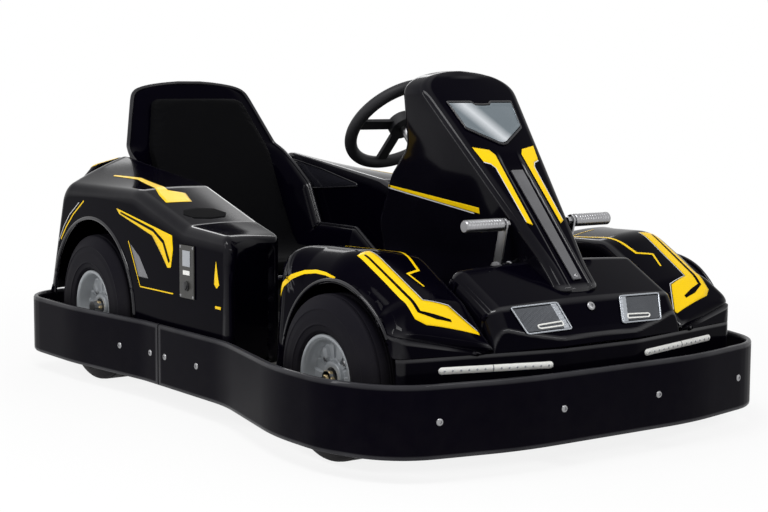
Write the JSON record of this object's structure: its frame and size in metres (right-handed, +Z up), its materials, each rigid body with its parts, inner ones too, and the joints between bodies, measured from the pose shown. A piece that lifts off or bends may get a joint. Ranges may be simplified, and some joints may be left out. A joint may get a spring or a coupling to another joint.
{
  "type": "drift kart",
  "caption": "Low electric rental kart with a wrap-round bumper band, moulded fenders, raked steering fairing, bucket seat and a live rear axle; steering and wheels move.",
  "frame": {"origin": "centre of the bounding box on the ground", "axes": "front faces -Y, +X is the driver's left, +Z up"},
  "size_m": [1.112, 1.715, 0.765],
  "materials": {
    "body_black": "gloss black moulding",
    "band_rubber": "satin black",
    "tyre_rubber": "matte",
    "rim_grey": "satin light grey",
    "frame_black": "satin black",
    "floor_plate": "satin black",
    "steel": "bright steel",
    "grip_rubber": "satin",
    "lamp_silver": "bright mesh panel",
    "strip_white": "white lens",
    "plate_silver": "satin silver",
    "pad_black": "matte black",
    "panel_black": "matte black",
    "battery_case": "matte dark grey",
    "motor_case": "satin grey"
  },
  "bodies": {
    "chassis": {"axle_hanger_left": "frame_black", "axle_hanger_right": "frame_black", "battery_left": "battery_case", "battery_right": "battery_case", "bumper_front": "band_rubber", "bumper_rear": "band_rubber", "column_support": "frame_black", "control_panel": "panel_black", "cross_front": "frame_black", "cross_middle": "frame_black", "cross_rear": "frame_black", "drive_motor": "motor_case", "fairing_strip": "plate_silver", "floor_pan": "floor_plate", "front_beam": "frame_black", "front_fascia": "body_black", "front_fender_left": "body_black", "front_fender_right": "body_black", "headlamp_left": "lamp_silver", "headlamp_right": "lamp_silver", "heel_platform_left": "floor_plate", "heel_platform_right": "floor_plate", "hood": "body_black", "light_strip_left": "strip_white", "light_strip_right": "strip_white", "number_plate": "plate_silver", "outrigger_left": "frame_black", "outrigger_right": "frame_black", "pedal_left": "steel", "pedal_right": "steel", "rail_left": "frame_black", "rail_right": "frame_black", "seat_pad": "pad_black", "seat_shell": "body_black", "seat_stand_left": "frame_black", "seat_stand_right": "frame_black", "side_pod_left": "body_black", "side_pod_right": "body_black", "steering_fairing": "body_black", "tail_cover": "body_black"},
    "steering": {"steering_wheel": "grip_rubber", "steering_column": "steel"},
    "knuckle_left": {"knuckle_left": "steel"},
    "knuckle_right": {"knuckle_right": "steel"},
    "tie_rod_left": {"tie_rod_left": "steel"},
    "tie_rod_right": {"tie_rod_right": "steel"},
    "wheel_front_left": {"rim_front_left": "rim_grey", "tyre_front_left": "tyre_rubber"},
    "wheel_front_right": {"rim_front_right": "rim_grey", "tyre_front_right": "tyre_rubber"},
    "rear_axle_set": {"rear_axle": "steel", "rim_rear_left": "rim_grey", "tyre_rear_left": "tyre_rubber", "rim_rear_right": "rim_grey", "tyre_rear_right": "tyre_rubber"}
  },
  "joints": [
    {"name": "steering_turn", "type": "hinge", "parent": "chassis", "child": "steering", "pos_m": [0, -0.15, 0.645], "axis": [0, 0.7071, 0.7071], "range_deg": [-55, 55]},
    {"name": "knuckle_left_turn", "type": "hinge", "parent": "chassis", "child": "knuckle_left", "pos_m": [0.37, -0.5525, 0.165], "axis": [0, 0, 1], "range_deg": [-25, 25]},
    {"name": "tie_rod_left_eye", "type": "hinge", "parent": "knuckle_left", "child": "tie_rod_left", "pos_m": [0.37, -0.4675, 0.154], "axis": [0, 0, 1], "range_deg": [-25, 25]},
    {"name": "wheel_front_left_spin", "type": "hinge", "parent": "knuckle_left", "child": "wheel_front_left", "pos_m": [0.44, -0.5525, 0.165], "axis": [1, 0, 0], "continuous": true},
    {"name": "knuckle_right_turn", "type": "hinge", "parent": "chassis", "child": "knuckle_right", "pos_m": [-0.37, -0.5525, 0.165], "axis": [0, 0, 1], "range_deg": [-25, 25]},
    {"name": "tie_rod_right_eye", "type": "hinge", "parent": "knuckle_right", "child": "tie_rod_right", "pos_m": [-0.37, -0.4675, 0.154], "axis": [0, 0, 1], "range_deg": [-25, 25]},
    {"name": "wheel_front_right_spin", "type": "hinge", "parent": "knuckle_right", "child": "wheel_front_right", "pos_m": [-0.44, -0.5525, 0.165], "axis": [1, 0, 0], "continuous": true},
    {"name": "rear_axle_spin", "type": "hinge", "parent": "chassis", "child": "rear_axle_set", "pos_m": [0, 0.5135, 0.18], "axis": [1, 0, 0], "continuous": true}
  ],
  "couplings": [
    {"joint": "knuckle_left_turn", "follows": "steering_turn", "ratio": 0.4545},
    {"joint": "tie_rod_left_eye", "follows": "steering_turn", "ratio": -0.4545},
    {"joint": "knuckle_right_turn", "follows": "steering_turn", "ratio": 0.4545},
    {"joint": "tie_rod_right_eye", "follows": "steering_turn", "ratio": -0.4545}
  ]
}
